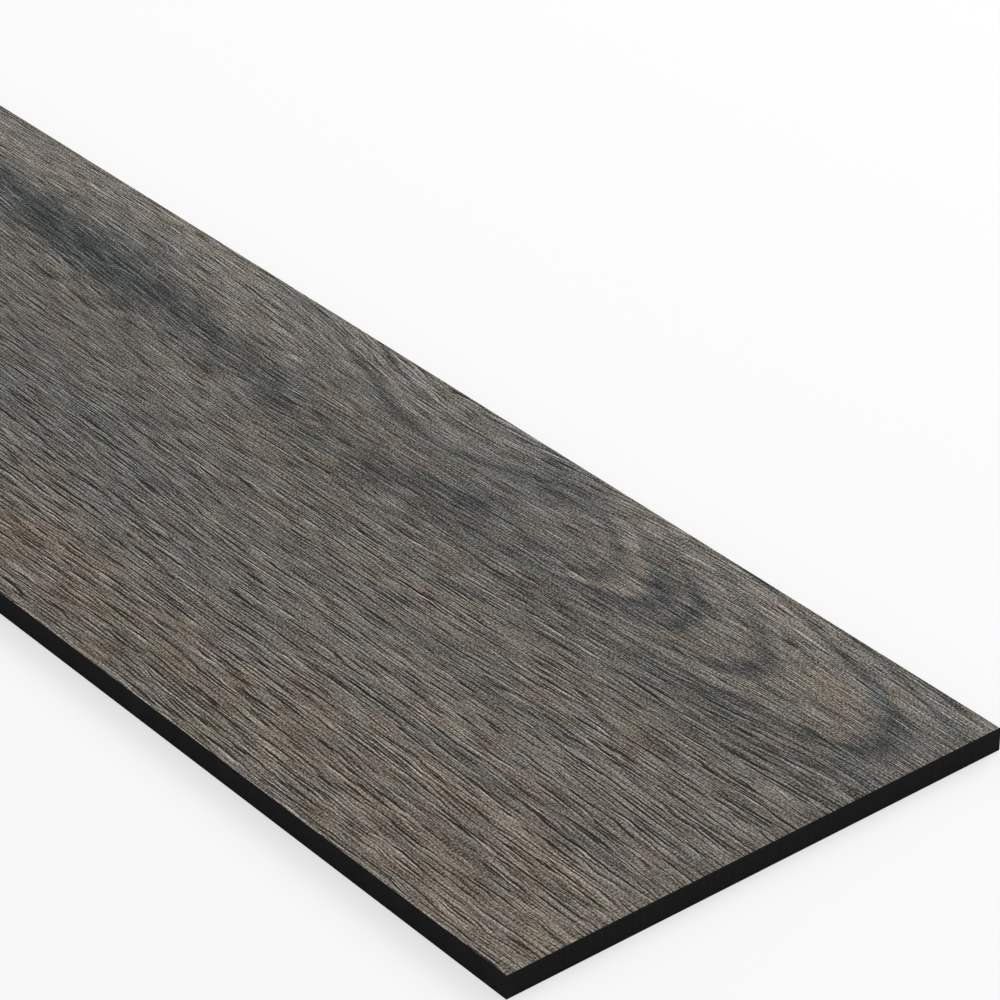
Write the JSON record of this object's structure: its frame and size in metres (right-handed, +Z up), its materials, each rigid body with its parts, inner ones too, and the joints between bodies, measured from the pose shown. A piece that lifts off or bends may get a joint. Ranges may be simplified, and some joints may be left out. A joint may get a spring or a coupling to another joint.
{
  "type": "laminate floor plank",
  "caption": "Flat rectangular floor board of pressed fibre with a dark oak decor face and plain square dark edges; lies face up.",
  "frame": {"origin": "middle of the underside, where the plank lies on the floor", "axes": "+Z up out of the decor face, X along the length, Y across the width"},
  "size_m": [1.38, 0.19, 0.008],
  "materials": {
    "laminate": "dark grey-brown oak decor face with embossed pores, satin; sides and underside plain near-black, matt"
  },
  "bodies": {
    "root": {"plank": "laminate"}
  },
  "joints": []
}
